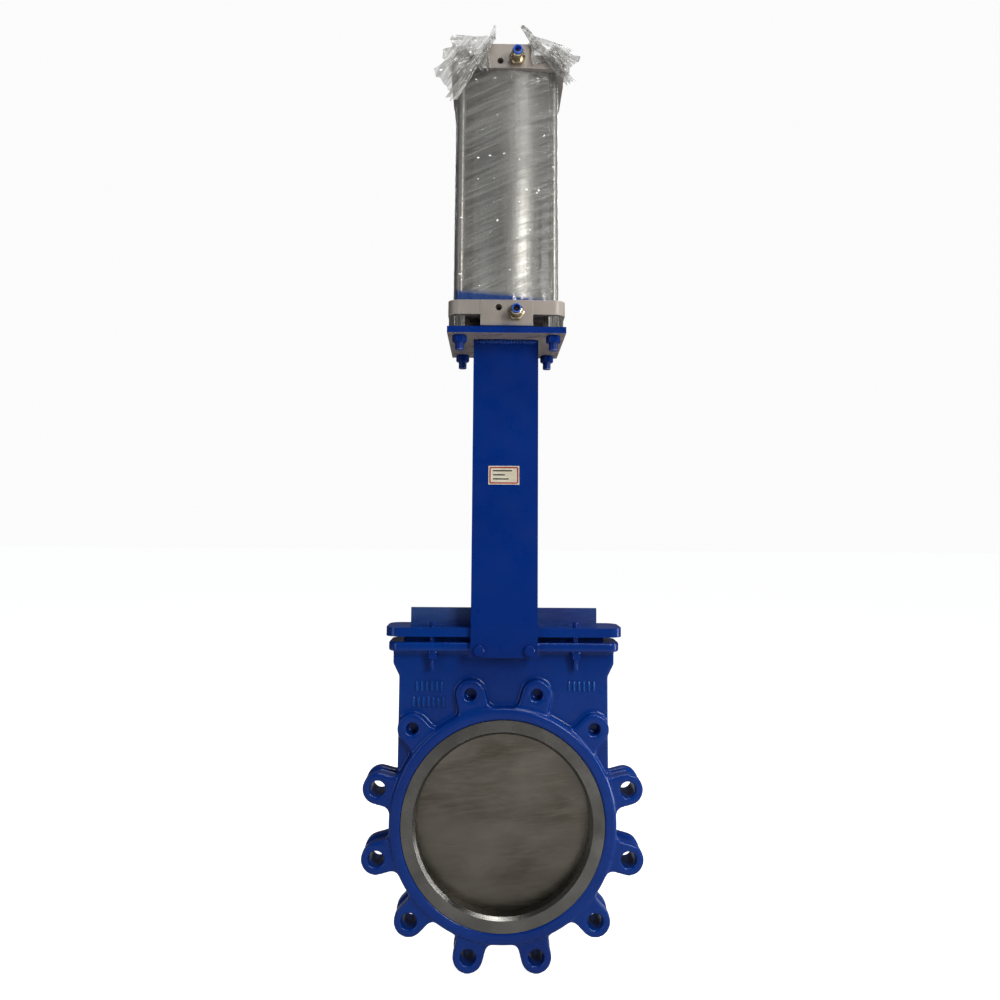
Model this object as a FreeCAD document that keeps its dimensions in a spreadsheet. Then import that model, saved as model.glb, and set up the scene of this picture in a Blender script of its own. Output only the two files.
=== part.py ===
import FreeCAD, Part
import math
import os
import re
import Sketcher

# Pneumatic lugged knife gate valve, nominal bore 350 mm (14 in), flange drilling class 150.
# Frame: origin at the centre of the bore on the gate's middle plane, +X to the right,
# -Y towards the inlet flange, +Z up along the gate's travel. Millimetres. Gate closed.

DOC = FreeCAD.newDocument("knife_gate_valve")
NODES = []

DIMENSIONS = {
    # Fits and clearances
    "thread_fit": 0.1,
    "rod_fit": 0.1,
    "running_gap": 0.1,
    "seal_fit": 0.2,
    "bolt_clearance": 1.0,
    # Pipe interface
    "face_to_face": 76.2,
    "raised_face_dia": 412.8,
    "bolt_circle": 476.25,
    "bolt_hole": 28.6,
    "tapped_hole": 22.2,
    "tapped_depth": 21.0,
    "thread_mouth": 1.5,
    "bore_dia": 320.0,
    # Body casting
    "lug_depth": 65.2,
    "lug_layer": 22.0,
    "lug_end_dia": 55.0,
    "lug_web_dia": 47.0,
    "hub_dia": 417.0,
    "web_hub_dia": 411.0,
    "lug_blend": 15.0,
    "chest_depth": 40.0,
    "chest_width": 391.0,
    "chest_shoulder_width": 414.0,
    "chest_shoulder_low": 262.0,
    "chest_shoulder_high": 285.0,
    "flange_low": 310.0,
    "flange_high": 327.0,
    "flange_length": 430.0,
    "flange_depth": 90.0,
    "flange_corner": 22.0,
    "pad_width": 124.0,
    "pad_low": 303.0,
    "slot_width": 362.0,
    "slot_depth": 14.0,
    "box_low": 292.0,
    "box_length": 376.6,
    "box_depth": 31.6,
    # Seats
    "ring_dia": 372.0,
    "ring_nose_dia": 356.0,
    "ring_ledge": 10.0,
    "ring_recess": 0.6,
    "ring_face_dia": 330.0,
    "ring_chamfer": 6.0,
    "ring_fit": 0.2,
    "seat_gap": 0.2,
    "seat_seal_outer": 346.0,
    "seat_seal_inner": 332.0,
    "seat_seal_depth": 7.0,
    "seat_seal_proud": 0.05,
    # Gate
    "gate_width": 353.0,
    "gate_thick": 10.0,
    "gate_top": 387.0,
    "guide_low": 5.0,
    "guide_length": 280.0,
    "guide_gap": 0.4,
    # Gland
    "gland_low": 337.5,
    "gland_thick": 16.5,
    "gland_length": 440.0,
    "nose_low": 323.0,
    "nose_length": 376.0,
    "nose_depth": 31.0,
    "packing_height": 10.0,
    "packing_gate_gap": 0.3,
    "window_gap": 1.0,
    "stud_dia": 10.0,
    "stud_span_long": 267.0,
    "stud_span_deep": 64.0,
    "stud_low": 277.0,
    "stud_high": 364.0,
    "stud_nut_flats": 17.0,
    "stud_nut_height": 12.0,
    "stud_washer_dia": 21.0,
    "stud_washer_thick": 2.5,
    # Yoke
    "yoke_width": 123.5,
    "yoke_plate": 8.0,
    "yoke_inner": 92.0,
    "yoke_low": 301.5,
    "yoke_high": 896.0,
    "top_plate": 220.0,
    "top_plate_thick": 12.0,
    "pilot_dia": 75.0,
    "yoke_bolt_dia": 12.0,
    "yoke_bolt_span": 92.6,
    "yoke_bolt_level": 314.5,
    "yoke_bolt_flats": 18.0,
    "yoke_bolt_head": 8.0,
    "yoke_bolt_depth": 20.0,
    "drill_tip": 4.0,
    "tie_hole_gap": 1.5,
    "plate_label_width": 58.0,
    "plate_label_height": 35.0,
    "plate_label_thick": 0.8,
    "plate_label_level": 637.0,
    "plate_label_shift": 2.5,
    # Cylinder
    "cap_side": 220.0,
    "cap_corner": 20.0,
    "cap_height": 48.0,
    "cap_slab": 26.5,
    "cap_block": 97.0,
    "cap_step": 1.0,
    "cap_seat": 910.0,
    "barrel_low": 958.0,
    "barrel_length": 453.0,
    "barrel_bore": 200.0,
    "barrel_wall": 3.0,
    "barrel_groove": 3.0,
    "spigot_height": 8.0,
    "o_ring_start": 2.4,
    "o_ring_width": 3.2,
    "o_ring_depth": 3.5,
    "rod_dia": 40.0,
    "rod_thread": 36.0,
    "tie_dia": 16.0,
    "tie_span": 175.0,
    "tie_low": 868.0,
    "tie_nut_flats": 32.0,
    "tie_proud": 6.0,
    "top_nut_height": 16.0,
    "mount_nut_flats": 24.0,
    "mount_nut_height": 14.0,
    "pilot_low": 886.0,
    "cushion_dia": 66.0,
    "cushion_depth": 40.0,
    "cushion_seal_dia": 76.0,
    "cushion_seal_length": 6.0,
    "bush_dia": 48.0,
    "bush_low": 892.0,
    "bush_length": 24.0,
    "bush_fit": 0.02,
    "bush_hole_length": 30.0,
    "rod_seal_height": 5.0,
    "seal_dia": 52.0,
    "lower_port_offset": 24.0,
    "upper_port_offset": 18.0,
    "port_side": 17.0,
    "port_dia": 13.0,
    "port_thread": 20.0,
    "port_thread_depth": 16.0,
    "port_stop": 20.0,
    "needle_offset": 14.0,
    "needle_side": 15.0,
    "needle_dia": 9.0,
    "needle_depth": 46.0,
    "needle_fit": 0.12,
    "needle_well": 12.0,
    "needle_well_dia": 13.0,
    "needle_head": 14.0,
    "needle_tip_dia": 2.0,
    "needle_tip_length": 12.0,
    "slit_width": 1.2,
    "slit_depth": 2.2,
    # Piston and rod
    "piston_low": 971.0,
    "piston_length": 56.0,
    "piston_dia": 199.2,
    "piston_core": 28.0,
    "piston_hub_dia": 132.0,
    "piston_bevel": 6.0,
    "piston_land": 12.0,
    "piston_groove": 6.0,
    "piston_seal_width": 8.0,
    "piston_seal_gap": 0.08,
    "wear_width": 14.0,
    "wear_depth": 3.0,
    "piston_nut_flats": 38.0,
    "piston_nut_height": 18.0,
    "rod_entry": 34.0,
    "rod_chamfer": 2.0,
    "rod_thread_run": 30.0,
    "rod_tail": 26.0,
    "collar_dia": 60.0,
    "collar_length": 30.0,
    "top_collar_length": 40.0,
    "collar_bore": 46.0,
    "clevis_low": 359.0,
    "clevis_high": 440.0,
    "clevis_width": 84.0,
    "clevis_depth": 50.0,
    "clevis_floor": 393.0,
    "clevis_corner": 6.0,
    "clevis_gap": 0.2,
    "clevis_thread_depth": 36.0,
    "pin_dia": 14.0,
    "pin_span": 44.0,
    "pin_level": 374.0,
    "pin_fit": 0.2,
    "pin_flats": 21.0,
    "pin_head": 8.5,
    "pin_nut_height": 11.0,
    "pin_tail": 15.0,
    "lock_nut_height": 18.0,
    "lock_nut_flats": 55.0,
    # Push-in fittings for the air tube
    "tube_dia": 12.0,
    "tube_fit": 0.3,
    "tube_seat_depth": 20.0,
    "air_way": 8.0,
    "socket_wall": 1.6,
    "socket_depth": 12.0,
    "stem_length": 15.0,
    "fitting_reach": 33.0,
    "fitting_hex": 27.0,
    "fitting_hex_length": 11.0,
    "fitting_barrel_dia": 21.0,
    "fitting_chamfer": 1.5,
    "release_dia": 17.0,
    "release_proud": 5.0,
    "release_seat": 7.4,
    "release_length": 14.2,
    "release_neck": 9.0,
    "release_flare": 0.8,
    "release_round": 1.0,
    # Packing film round the cylinder
    "film_thick": 1.0,
    "film_side": 209.0,
    "film_corner": 35.0,
    "film_gap": 1.0,
    "bunch_inner": 50.0,
    "bunch_width": 74.0,
    "bunch_depth": 16.0,
    "bunch_low": 1355.0,
    "bunch_height": 120.0,
    "bunch_gap": 1.5,
    "bunch_round": 6.0,
}


def make_sheet():
    """Write the driving dimensions into a spreadsheet, one aliased cell each."""
    sheet = DOC.addObject("Spreadsheet::Sheet", "Dims")
    for row, (alias, size) in enumerate(DIMENSIONS.items(), start=1):
        sheet.set(f"A{row}", alias)
        sheet.set(f"B{row}", str(size))
        sheet.setAlias(f"B{row}", alias)
    DOC.recompute()
    return sheet


SHEET = make_sheet()
SHEET_PREFIX = {True: "Dims.", False: ""}


def links(text):
    """Turn bare dimension names in an expression into references to the sheet."""
    return re.sub(r"[a-z_]+", lambda word: SHEET_PREFIX[word[0] in DIMENSIONS] + word[0], str(text))


def number(text):
    """The value of an expression, for geometry that is set up in code."""
    result = SHEET.evalExpression(links(text))
    return float(getattr(result, "Value", result))


def bind(obj, **properties):
    """Bind an object's properties to expressions over the sheet."""
    for name, text in properties.items():
        obj.setExpression(name, links(text))


TURNS = {
    "y": FreeCAD.Rotation(FreeCAD.Vector(1, 0, 0), -90),
    "-y": FreeCAD.Rotation(FreeCAD.Vector(1, 0, 0), 90),
    "z": FreeCAD.Rotation(),
    "-z": FreeCAD.Rotation(FreeCAD.Vector(1, 0, 0), 180),
}


def put(obj, at, along="z"):
    """Aim an object's own Z along a direction and bind its position."""
    obj.Placement = FreeCAD.Placement(FreeCAD.Vector(), TURNS[along])
    for axis, text in zip("xyz", at):
        obj.setExpression("Placement.Base." + axis, links(text))
    return obj


def block(name, size, low):
    """Box from its size and low corner."""
    obj = DOC.addObject("Part::Box", name)
    bind(obj, Length=size[0], Width=size[1], Height=size[2])
    return put(obj, low)


def centred_block(name, size, low_z):
    """Box centred on the Z axis."""
    low = (f"0 - ({size[0]}) / 2", f"0 - ({size[1]}) / 2", low_z)
    return block(name, size, low)


def cylinder(name, dia, length, at=("0", "0", "0"), along="z"):
    obj = DOC.addObject("Part::Cylinder", name)
    bind(obj, Radius=f"({dia}) / 2", Height=length)
    return put(obj, at, along)


def cone(name, low_dia, high_dia, length, at, along="z"):
    obj = DOC.addObject("Part::Cone", name)
    bind(obj, Radius1=f"({low_dia}) / 2", Radius2=f"({high_dia}) / 2", Height=length)
    return put(obj, at, along)


def fuse(name, *shapes):
    obj = DOC.addObject("Part::MultiFuse", name)
    obj.Shapes = list(shapes)
    obj.Refine = True
    return obj


def cut(name, base, *tools):
    obj = DOC.addObject("Part::Cut", name)
    obj.Base = base
    obj.Tool = tools[0] if len(tools) == 1 else fuse(name + "_tools", *tools)
    obj.Refine = True
    return obj


def common(name, base, tool):
    obj = DOC.addObject("Part::Common", name)
    obj.Base = base
    obj.Tool = tool
    obj.Refine = True
    return obj


def group(name, members):
    """One node that holds several equal solids."""
    obj = DOC.addObject("Part::Compound", name)
    obj.Links = list(members)
    return obj


def edges_where(obj, test):
    """Numbers of an object's edges that pass a test, counted from 1."""
    DOC.recompute()
    return [index for index, edge in enumerate(obj.Shape.Edges, start=1) if test(edge)]


def runs_along(direction):
    """Test for straight edges in one direction."""
    axis = FreeCAD.Vector(*direction)

    def test(edge):
        if edge.Curve.TypeId != "Part::GeomLine":
            return False
        return abs(edge.tangentAt(edge.FirstParameter).dot(axis)) > 0.999

    return test


def is_circle(edge):
    return edge.Curve.TypeId == "Part::GeomCircle" and edge.isClosed()


def round_edges(name, base, size, test, kind="Part::Fillet"):
    """Fillet or chamfer the edges of an object that pass a test."""
    obj = DOC.addObject(kind, name)
    obj.Base = base
    amount = number(size)
    obj.Edges = [(index, amount, amount) for index in edges_where(base, test)]
    return obj


def origin_item(body, role):
    return next(item for item in body.Origin.OriginFeatures if item.Role == role)


def profile_sketch(body, name, points, plane="XZ_Plane"):
    """Closed polygon in a body's sketch, each corner held by two bound distances."""
    sketch = body.newObject("Sketcher::SketchObject", name)
    sketch.AttachmentSupport = (origin_item(body, plane), [""])
    sketch.MapMode = "FlatFace"
    corners = [FreeCAD.Vector(number(across), number(up), 0) for across, up in points]
    count = len(corners)
    for index in range(count):
        following = (index + 1) % count
        sketch.addGeometry(Part.LineSegment(corners[index], corners[following]), False)
    for index in range(count):
        following = (index + 1) % count
        sketch.addConstraint(Sketcher.Constraint("Coincident", index, 2, following, 1))
    for index, texts in enumerate(points):
        for kind, text, value in zip(("DistanceX", "DistanceY"), texts, corners[index]):
            row = sketch.addConstraint(Sketcher.Constraint(kind, -1, 1, index, 1, value))
            sketch.setExpression(f"Constraints[{row}]", links(text))
    return sketch


def turned(name, points, at=("0", "0", "0"), along="z"):
    """Turned body: (radius, height) corners revolved about the body's own Z."""
    body = DOC.addObject("PartDesign::Body", name)
    sketch = profile_sketch(body, name + "_profile", points)
    feature = body.newObject("PartDesign::Revolution", name + "_revolution")
    feature.Profile = sketch
    feature.ReferenceAxis = (sketch, ["V_Axis"])
    feature.Angle = 360
    body.Tip = feature
    return put(body, at, along)


def tube(name, outer, inner, length, at, along="z"):
    """Plain turned ring."""
    points = [
        (f"({inner}) / 2", "0"),
        (f"({outer}) / 2", "0"),
        (f"({outer}) / 2", length),
        (f"({inner}) / 2", length),
    ]
    return turned(name, points, at, along)


def padded(name, points, length, plane="XZ_Plane"):
    """Prism: an outline padded both ways from its plane."""
    body = DOC.addObject("PartDesign::Body", name)
    sketch = profile_sketch(body, name + "_outline", points, plane)
    feature = body.newObject("PartDesign::Pad", name + "_pad")
    feature.Profile = sketch
    bind(feature, Length=length)
    feature.Midplane = True
    body.Tip = feature
    return body


HEXAGON_SIDES = 6
TURNED_OVER_FLATS = 1.13
CHAMFER_OVER_FLATS = 0.075


def hexagon(name, flats, height, at, along="z", bore=None):
    """Hexagon with its corners chamfered at both ends, drilled when a bore is given."""
    prism = DOC.addObject("Part::Prism", name + "_prism")
    prism.Polygon = HEXAGON_SIDES
    bind(prism, Circumradius=f"({flats}) / 2 / cos(30 deg)", Height=height)
    turning = cylinder(name + "_turning", f"({flats}) * {TURNED_OVER_FLATS}", height)
    chamfer = f"({flats}) * {CHAMFER_OVER_FLATS}"
    turned_down = round_edges(name + "_chamfer", turning, chamfer, is_circle, "Part::Chamfer")
    shape = common(name + "_corners", prism, turned_down)
    if bore:
        hole = cylinder(name + "_bore", bore, height)
        shape = cut(name + "_drilled", shape, hole)
    return put(shape, at, along)


def node(label, obj):
    """Register a finished sub-part under its file name."""
    obj.Label = label
    NODES.append(obj)
    return obj


# ---------------------------------------------------------------- body casting

SIGNS = (-1, 1)
LUG_COUNT = 12
LUG_STEP = 360 // LUG_COUNT
LUG_ANGLES = [LUG_STEP // 2 + LUG_STEP * step for step in range(LUG_COUNT)]
BOSS_ANGLES = (45, 75, 105, 135)
THROUGH_ANGLES = [angle for angle in LUG_ANGLES if angle not in BOSS_ANGLES]


def on_circle(angle):
    """Expressions for a point of the bolt circle, as x and z."""
    return f"bolt_circle / 2 * cos({angle} deg)", f"bolt_circle / 2 * sin({angle} deg)"


ON_HUB = 0.5


def lug_layer(name, low_y, depth, hub, end, angles):
    """Slice of the casting: the round hub with a tab at each given angle, blended in."""
    parts = [cylinder(name + "_hub", hub, depth, ("0", low_y, "0"), "y")]
    for angle in angles:
        x, z = on_circle(angle)
        parts.append(cylinder(f"{name}_end_{angle}", end, depth, (x, low_y, z), "y"))
        tab = DOC.addObject("Part::Box", f"{name}_tab_{angle}")
        bind(tab, Length="bolt_circle / 2", Width=depth, Height=end)
        turn = FreeCAD.Rotation(FreeCAD.Vector(0, 1, 0), -angle)
        tab.Placement = FreeCAD.Placement(FreeCAD.Vector(), turn)
        tab.setExpression("Placement.Base.x", links(f"({end}) / 2 * sin({angle} deg)"))
        tab.setExpression("Placement.Base.y", links(low_y))
        tab.setExpression("Placement.Base.z", links(f"0 - ({end}) / 2 * cos({angle} deg)"))
        parts.append(tab)
    shape = fuse(name + "_outline", *parts)
    hub_radius = number(f"({hub}) / 2")

    def in_corner(edge):
        start = edge.Vertexes[0].Point
        radius = math.hypot(start.x, start.z)
        return runs_along((0, 1, 0))(edge) and abs(radius - hub_radius) < ON_HUB

    return round_edges(name, shape, "lug_blend", in_corner)


def body_solid():
    """Outside of the casting, before any hole is cut."""
    slices = [
        ("front_layer", "0 - lug_depth / 2", "lug_layer", "hub_dia", "lug_end_dia", LUG_ANGLES),
        ("rear_layer", "lug_depth / 2 - lug_layer", "lug_layer", "hub_dia", "lug_end_dia", LUG_ANGLES),
        ("web_layer", "lug_layer - lug_depth / 2", "lug_depth - 2 * lug_layer", "web_hub_dia", "lug_web_dia",
         THROUGH_ANGLES),
    ]
    layers = [lug_layer(*values) for values in slices]
    raised_at = ("0", "0 - face_to_face / 2", "0")
    raised = cylinder("raised_faces", "raised_face_dia", "face_to_face", raised_at, "y")
    outline = [
        ("0 - chest_width / 2", "0"),
        ("chest_width / 2", "0"),
        ("chest_width / 2", "chest_shoulder_low"),
        ("chest_shoulder_width / 2", "chest_shoulder_high"),
        ("chest_shoulder_width / 2", "flange_high"),
        ("0 - chest_shoulder_width / 2", "flange_high"),
        ("0 - chest_shoulder_width / 2", "chest_shoulder_high"),
        ("0 - chest_width / 2", "chest_shoulder_low"),
    ]
    chest = padded("chest", outline, "chest_depth")
    flange_size = ("flange_length", "flange_depth", "flange_high - flange_low")
    bar = centred_block("flange_bar", flange_size, "flange_low")
    flange = round_edges("body_flange", bar, "flange_corner", runs_along((0, 0, 1)))
    pad = centred_block("yoke_pads", ("pad_width", "yoke_inner", "flange_high - pad_low"), "pad_low")
    return fuse("casting", *layers, raised, chest, flange, pad)


def valve_body():
    tools = []
    for angle in THROUGH_ANGLES:
        x, z = on_circle(angle)
        at = (x, "0 - lug_depth / 2", z)
        tools.append(cylinder(f"bolt_hole_{angle}", "bolt_hole", "lug_depth", at, "y"))
    for side, along in ((-1, "y"), (1, "-y")):
        face = f"{side} * lug_depth / 2"
        for angle in BOSS_ANGLES:
            x, z = on_circle(angle)
            name = f"tapped_{along.strip('-')}{side + 1}_{angle}"
            tools.append(cylinder(name, "tapped_hole", "tapped_depth", (x, face, z), along))
            wide = "tapped_hole + 2 * thread_mouth"
            tools.append(cone(name + "_mouth", wide, "tapped_hole", "thread_mouth", (x, face, z), along))
        counterbore_low = "0 - face_to_face / 2" if side < 0 else "ring_ledge"
        name = f"seat_counterbore_{side + 1}"
        length = "face_to_face / 2 - ring_ledge"
        tools.append(cylinder(name, "ring_dia + ring_fit", length, ("0", counterbore_low, "0"), "y"))
    ledge_bore_at = ("0", "0 - ring_ledge", "0")
    ledge_bore_dia = "ring_nose_dia + 2 * ring_fit"
    tools.append(cylinder("ledge_bore", ledge_bore_dia, "2 * ring_ledge", ledge_bore_at, "y"))
    slot_at = ("0", "0 - slot_depth / 2", "0")
    tools.append(cylinder("slot_round", "slot_width", "slot_depth", slot_at, "y"))
    tools.append(centred_block("slot_straight", ("slot_width", "slot_depth", "flange_high"), "0"))
    box_size = ("box_length", "box_depth", "flange_high - box_low")
    tools.append(centred_block("stuffing_box", box_size, "box_low"))
    for x_side in SIGNS:
        for y_side in SIGNS:
            tag = f"{x_side + 1}{y_side + 1}"
            at = (f"{x_side} * stud_span_long / 2", f"{y_side} * stud_span_deep / 2", "flange_low")
            stud_hole = "stud_dia + bolt_clearance"
            tools.append(cylinder("stud_hole_" + tag, stud_hole, "flange_high - flange_low", at))
            along = "y" if y_side < 0 else "-y"
            at = (f"{x_side} * yoke_bolt_span / 2", f"{y_side} * yoke_inner / 2", "yoke_bolt_level")
            tapped = "yoke_bolt_dia + thread_fit"
            tools.append(cylinder("yoke_hole_" + tag, tapped, "yoke_bolt_depth + drill_tip", at, along))
    node("valve_body", cut("body", body_solid(), *tools))


# ---------------------------------------------------------------- seats and guides

def seat_rings():
    outer_y = "face_to_face / 2 - ring_recess"
    nose_y = "gate_thick / 2 + seat_gap"
    profile = [
        ("bore_dia / 2", nose_y),
        ("ring_nose_dia / 2", nose_y),
        ("ring_nose_dia / 2", "ring_ledge"),
        ("ring_dia / 2", "ring_ledge"),
        ("ring_dia / 2", outer_y),
        ("ring_face_dia / 2", outer_y),
        ("bore_dia / 2", f"{outer_y} - ring_chamfer"),
    ]
    node("inlet_seat_ring", turned("inlet_ring", profile, along="-y"))
    outlet = turned("outlet_ring", profile, along="y")
    groove_at = ("0", nose_y, "0")
    groove = tube("seal_groove", "seat_seal_outer", "seat_seal_inner", "seat_seal_depth", groove_at, "y")
    node("outlet_seat_ring", cut("outlet_ring_grooved", outlet, groove))
    seal_outer = "seat_seal_outer - seal_fit"
    seal_inner = "seat_seal_inner + seal_fit"
    seal_depth = "seat_seal_depth - seal_fit"
    seal_at = ("0", f"{nose_y} - seat_seal_proud", "0")
    node("seat_seal", tube("outlet_seal", seal_outer, seal_inner, seal_depth, seal_at, "y"))


def gate_guides():
    strips = []
    size = ("(slot_width - gate_width) / 2 - guide_gap - running_gap", "gate_thick", "guide_length")
    for side in SIGNS:
        low_x = "gate_width / 2 + guide_gap" if side > 0 else "running_gap - slot_width / 2"
        strips.append(block(f"guide_{side + 1}", size, (low_x, "0 - gate_thick / 2", "guide_low")))
    node("gate_guides", group("guides", strips))


# ---------------------------------------------------------------- gland

PACKING_RINGS = 3


def packing():
    """Braided rings in the stuffing box, stacked round the gate."""
    outer_size = ("box_length - 2 * seal_fit", "box_depth - 2 * seal_fit", "packing_height")
    inner_size = ("gate_width + 2 * packing_gate_gap", "gate_thick + 2 * packing_gate_gap", "packing_height")
    for row in range(PACKING_RINGS):
        low = f"box_low + running_gap + {row} * (packing_height + running_gap)"
        outer = centred_block(f"packing_{row}_outer", outer_size, low)
        inner = centred_block(f"packing_{row}_inner", inner_size, low)
        node(f"packing_ring_{row + 1}", cut(f"packing_{row}", outer, inner))


def gland():
    plate = centred_block("gland_bar", ("gland_length", "flange_depth", "gland_thick"), "gland_low")
    rounded = round_edges("gland_plate", plate, "flange_corner", runs_along((0, 0, 1)))
    nose = centred_block("gland_nose", ("nose_length", "nose_depth", "gland_low - nose_low"), "nose_low")
    window_height = "gland_low + gland_thick - nose_low"
    window_size = ("gate_width + 2 * window_gap", "gate_thick + 2 * window_gap", window_height)
    window = centred_block("gland_window", window_size, "nose_low")
    holes = []
    studs = []
    nuts = []
    washers = []
    for x_side in SIGNS:
        for y_side in SIGNS:
            tag = f"{x_side + 1}{y_side + 1}"
            x = f"{x_side} * stud_span_long / 2"
            y = f"{y_side} * stud_span_deep / 2"
            tapped = "stud_dia + thread_fit"
            holes.append(cylinder("gland_hole_" + tag, tapped, "gland_thick", (x, y, "gland_low")))
            studs.append(cylinder("stud_" + tag, "stud_dia", "stud_high - stud_low", (x, y, "stud_low")))
            washer_low = "flange_low - stud_washer_thick"
            bore = "stud_dia + bolt_clearance"
            washer = tube("washer_" + tag, "stud_washer_dia", bore, "stud_washer_thick", (x, y, washer_low))
            washers.append(washer)
            nut_at = (x, y, f"{washer_low} - stud_nut_height")
            nuts.append(hexagon("nut_" + tag, "stud_nut_flats", "stud_nut_height", nut_at, bore=tapped))
    node("gland_flange", cut("gland_body", fuse("gland_solid", rounded, nose), window, *holes))
    node("gland_studs", group("studs", studs))
    node("gland_washers", group("washers", washers))
    node("gland_nuts", group("nuts", nuts))


# ---------------------------------------------------------------- yoke

def yoke():
    bolts = []
    for side, name in ((-1, "yoke_front_plate"), (1, "yoke_rear_plate")):
        low_y = "0 - yoke_inner / 2 - yoke_plate" if side < 0 else "yoke_inner / 2"
        size = ("yoke_width", "yoke_plate", "yoke_high - yoke_low")
        plate = block(name + "_blank", size, ("0 - yoke_width / 2", low_y, "yoke_low"))
        holes = []
        for x_side in SIGNS:
            tag = f"{side + 1}{x_side + 1}"
            x = f"{x_side} * yoke_bolt_span / 2"
            at = (x, low_y, "yoke_bolt_level")
            bore = "yoke_bolt_dia + bolt_clearance"
            holes.append(cylinder("plate_hole_" + tag, bore, "yoke_plate", at, "y"))
            along = "-y" if side < 0 else "y"
            face = f"{side} * (yoke_inner / 2 + yoke_plate)"
            head_at = (x, face, "yoke_bolt_level")
            head = hexagon("yoke_head_" + tag, "yoke_bolt_flats", "yoke_bolt_head", head_at, along)
            shank_low = "0 - yoke_inner / 2 - yoke_plate" if side < 0 else "yoke_inner / 2 - yoke_bolt_depth"
            shank_at = (x, shank_low, "yoke_bolt_level")
            shank_length = "yoke_plate + yoke_bolt_depth"
            shank = cylinder("yoke_shank_" + tag, "yoke_bolt_dia", shank_length, shank_at, "y")
            bolts.append(fuse("yoke_bolt_" + tag, head, shank))
        node(name, cut(name + "_drilled", plate, *holes))
    node("yoke_bolts", group("yoke_bolt_set", bolts))
    top = centred_block("top_plate_blank", ("top_plate", "top_plate", "top_plate_thick"), "yoke_high")
    pilot_at = ("0", "0", "yoke_high")
    holes = [cylinder("pilot_hole", "pilot_dia + bolt_clearance", "top_plate_thick", pilot_at)]
    for tag, x, y in tie_places():
        at = (x, y, "yoke_high")
        holes.append(cylinder("plate_tie_hole_" + tag, "tie_dia + tie_hole_gap", "top_plate_thick", at))
    node("yoke_top_plate", cut("top_plate_drilled", top, *holes))
    label_low = (
        "0 - plate_label_width / 2 - plate_label_shift",
        "0 - yoke_inner / 2 - yoke_plate - plate_label_thick",
        "plate_label_level - plate_label_height / 2",
    )
    label_size = ("plate_label_width", "plate_label_thick", "plate_label_height")
    node("name_plate", block("label", label_size, label_low))


# ---------------------------------------------------------------- cylinder

ENDS = ("lower", "upper")


def tie_places():
    """Tag and x, y expressions of the four tie rods."""
    for x_side in SIGNS:
        for y_side in SIGNS:
            yield f"{x_side + 1}{y_side + 1}", f"{x_side} * tie_span / 2", f"{y_side} * tie_span / 2"


def cap_shell(name, side, port_offset):
    """End cap in its own frame: outer face at 0, barrel face at cap_height, then the spigot.
    Its air port and cushion screw are on the -Y or +Y side."""
    slab_size = ("cap_side - 2 * cap_step", "cap_side - 2 * cap_step", "cap_slab")
    slab = centred_block(name + "_slab", slab_size, "cap_height - cap_slab")
    slab_round = round_edges(name + "_slab_round", slab, "cap_corner", runs_along((0, 0, 1)))
    arm_x = centred_block(name + "_arm_x", ("cap_side", "cap_block", "cap_height"), "0")
    arm_y = centred_block(name + "_arm_y", ("cap_block", "cap_side", "cap_height"), "0")
    spigot_dia = "barrel_bore - seal_fit"
    spigot = cylinder(name + "_spigot", spigot_dia, "spigot_height", ("0", "0", "cap_height"))
    solid = fuse(name + "_solid", slab_round, arm_x, arm_y, spigot)
    groove_at = ("0", "0", "cap_height - barrel_groove")
    groove_outer = "barrel_bore + 2 * barrel_wall + 2 * seal_fit"
    groove = tube(name + "_groove", groove_outer, spigot_dia, "barrel_groove", groove_at)
    seal_at = ("0", "0", "cap_height + o_ring_start")
    seal_inner = "barrel_bore - 2 * o_ring_depth"
    seal_groove = tube(name + "_seal_groove", "barrel_bore", seal_inner, "o_ring_width", seal_at)
    mouth = "cap_height + spigot_height - cushion_depth"
    cushion = cylinder(name + "_cushion", "cushion_dia", "cushion_depth", ("0", "0", mouth))
    lip_at = ("0", "0", "cap_height + spigot_height - cushion_seal_length")
    lip = cylinder(name + "_lip", "cushion_seal_dia + seal_fit", "cushion_seal_length", lip_at)
    tools = [groove, seal_groove, cushion, lip]
    for tag, x, y in tie_places():
        tools.append(cylinder(f"{name}_tie_{tag}", "tie_dia + bolt_clearance", "cap_height", (x, y, "0")))
    face = f"{side} * cap_side / 2"
    inward = "y" if side < 0 else "-y"
    port_at = ("port_side", face, f"cap_height - {port_offset}")
    tools.append(cylinder(name + "_port", "port_dia", "cap_side / 2 - port_stop", port_at, inward))
    tapped = "port_thread + 2 * thread_fit"
    tools.append(cylinder(name + "_thread", tapped, "port_thread_depth", port_at, inward))
    needle_at = ("0 - needle_side", face, "cap_height - needle_offset")
    tools.append(cylinder(name + "_needle", "needle_dia", "needle_depth", needle_at, inward))
    tools.append(cylinder(name + "_well", "needle_well_dia", "needle_well", needle_at, inward))
    return cut(name + "_machined", solid, *tools)


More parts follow.
